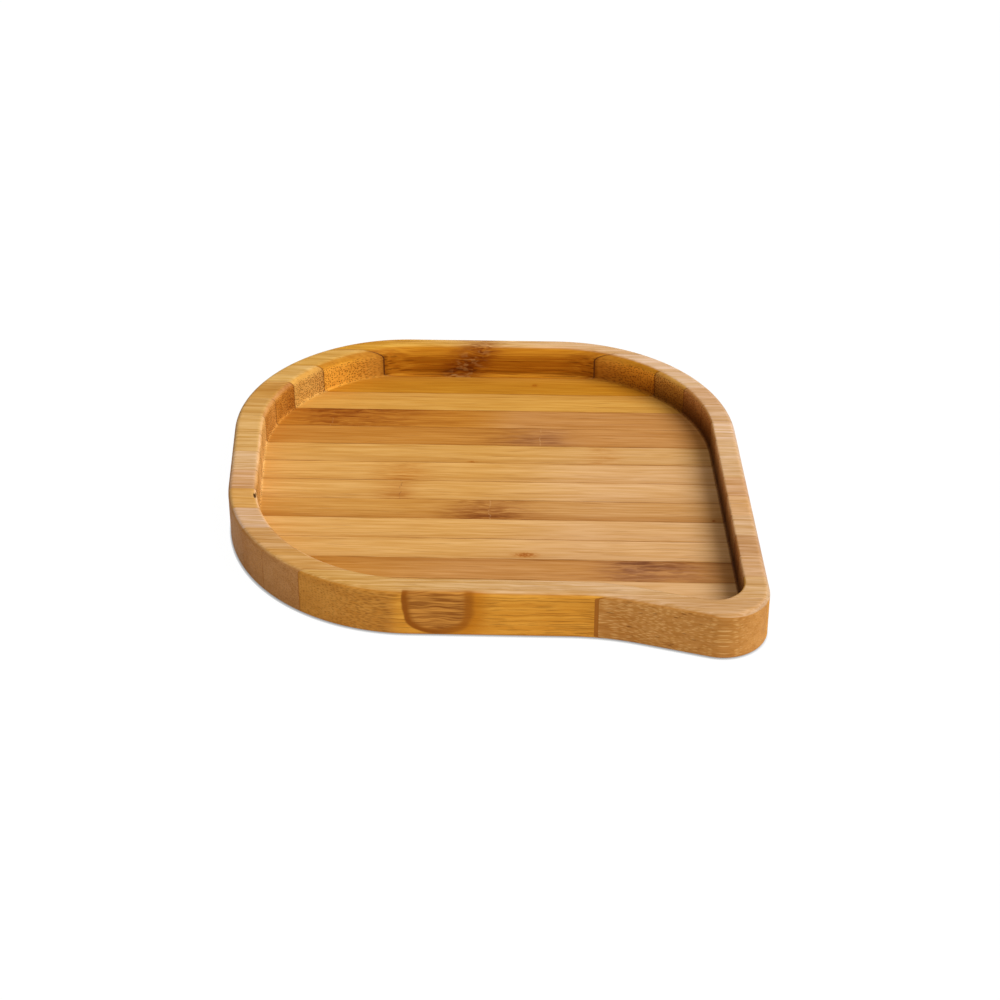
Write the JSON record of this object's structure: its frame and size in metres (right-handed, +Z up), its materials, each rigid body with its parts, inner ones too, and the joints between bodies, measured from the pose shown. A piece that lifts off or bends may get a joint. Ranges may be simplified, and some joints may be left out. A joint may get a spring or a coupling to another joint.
{
  "type": "serving tray",
  "caption": "Small drop-shaped serving tray milled from an edge-glued bamboo board, with a shallow recess, a raised rim and one pointed corner.",
  "frame": {"origin": "middle of the tray's footprint box, on the surface that it stands on", "axes": "+Z up out of the recess, +X along the staves towards the side that ends in the tip, +Y towards the straight back edge"},
  "size_m": [0.1572, 0.1464, 0.015],
  "materials": {
    "bamboo_pale": "satin oiled bamboo, pale straw",
    "bamboo_gold": "satin oiled bamboo, golden",
    "bamboo_amber": "satin oiled bamboo, amber skin side",
    "bamboo_brown": "satin oiled bamboo, steamed brown",
    "glue": "cured wood glue, dark and matt"
  },
  "bodies": {
    "root": {"stave_back": "bamboo_amber", "stave_02": "bamboo_gold", "stave_03": "bamboo_pale", "stave_04": "bamboo_brown", "stave_05": "bamboo_brown", "stave_06": "bamboo_pale", "stave_07": "bamboo_pale", "stave_08": "bamboo_pale", "stave_09": "bamboo_brown", "stave_10": "bamboo_pale", "stave_11": "bamboo_gold", "stave_12": "bamboo_brown", "stave_13": "bamboo_pale", "stave_14": "bamboo_pale", "stave_tip": "bamboo_amber", "glue_line_01": "glue", "glue_line_02": "glue", "glue_line_03": "glue", "glue_line_04": "glue", "glue_line_05": "glue", "glue_line_06": "glue", "glue_line_07": "glue", "glue_line_08": "glue", "glue_line_09": "glue", "glue_line_10": "glue", "glue_line_11": "glue", "glue_line_12": "glue", "glue_line_13": "glue", "glue_line_14": "glue"}
  },
  "joints": []
}
